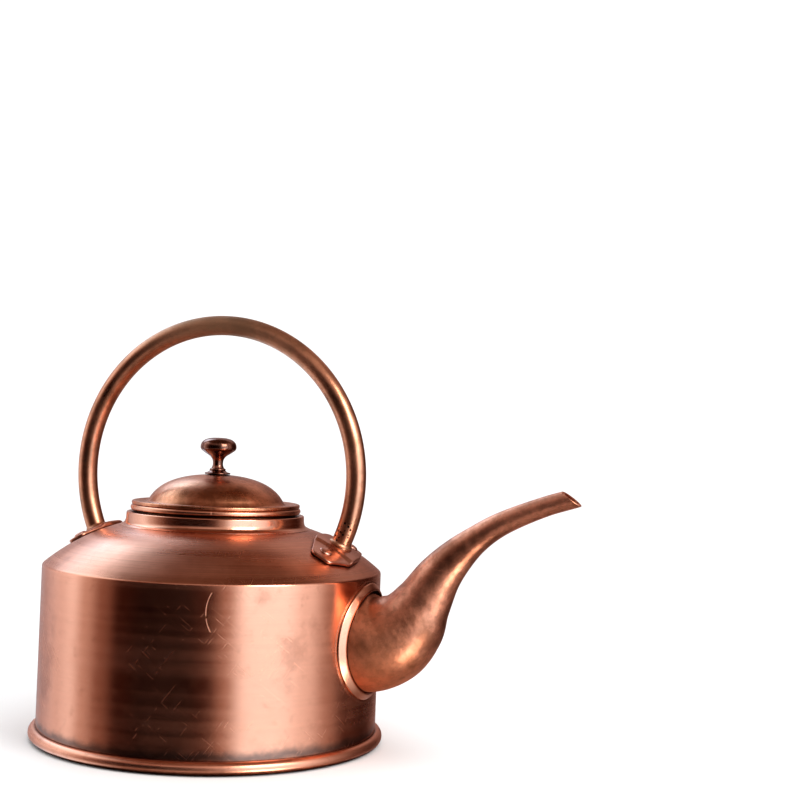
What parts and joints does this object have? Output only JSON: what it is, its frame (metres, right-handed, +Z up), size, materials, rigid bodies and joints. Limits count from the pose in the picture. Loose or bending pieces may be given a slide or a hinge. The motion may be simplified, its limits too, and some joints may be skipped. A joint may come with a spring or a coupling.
{
  "type": "stovetop kettle",
  "caption": "Copper stovetop kettle: drum body with rolled base bead, domed shoulder, swan-neck pouring spout, fixed hoop handle riveted to the shoulder, and lift-off domed lid with knob.",
  "frame": {"origin": "centre of the flat base, on the surface the kettle stands on", "axes": "+X is towards the spout, +Z is up, +Y is to the left when looking along +X"},
  "size_m": [0.2977, 0.19, 0.2292],
  "materials": {
    "satin_copper": "satin copper, brushed round the axis, lightly scratched",
    "brown_copper": "oxidised brown copper, fine cross brushing",
    "bright_copper": "polished copper",
    "dark_copper": "dark bronzed copper, glossy",
    "braze_brass": "brass, dull yellow",
    "tin_solder": "tin solder, dull grey",
    "steel": "plain steel"
  },
  "bodies": {
    "kettle": {"body_shell": "satin_copper", "base_pan": "satin_copper", "base_bead_wire": "steel", "base_solder_fillet": "tin_solder", "mouth_collar": "bright_copper", "spout": "brown_copper", "spout_flange": "bright_copper", "handle_hoop": "brown_copper", "handle_bracket_front": "satin_copper", "handle_bracket_rear": "satin_copper", "handle_braze_ring_front": "braze_brass", "handle_braze_ring_rear": "braze_brass", "bracket_rivet_front_left": "bright_copper", "bracket_rivet_front_right": "bright_copper", "bracket_rivet_rear_left": "bright_copper", "bracket_rivet_rear_right": "bright_copper", "rivet_burr_front_left": "brown_copper", "rivet_burr_front_right": "brown_copper", "rivet_burr_rear_left": "brown_copper", "rivet_burr_rear_right": "brown_copper"},
    "lid": {"lid_dome": "satin_copper", "lid_rim_ring": "bright_copper", "lid_skirt": "satin_copper", "lid_knob": "dark_copper", "knob_stud": "steel", "knob_washer": "braze_brass", "knob_nut": "braze_brass"}
  },
  "joints": [
    {"name": "lid_lift", "type": "slide", "parent": "kettle", "child": "lid", "axis": [0, 0, 1], "range_m": [0, 0.05]}
  ]
}
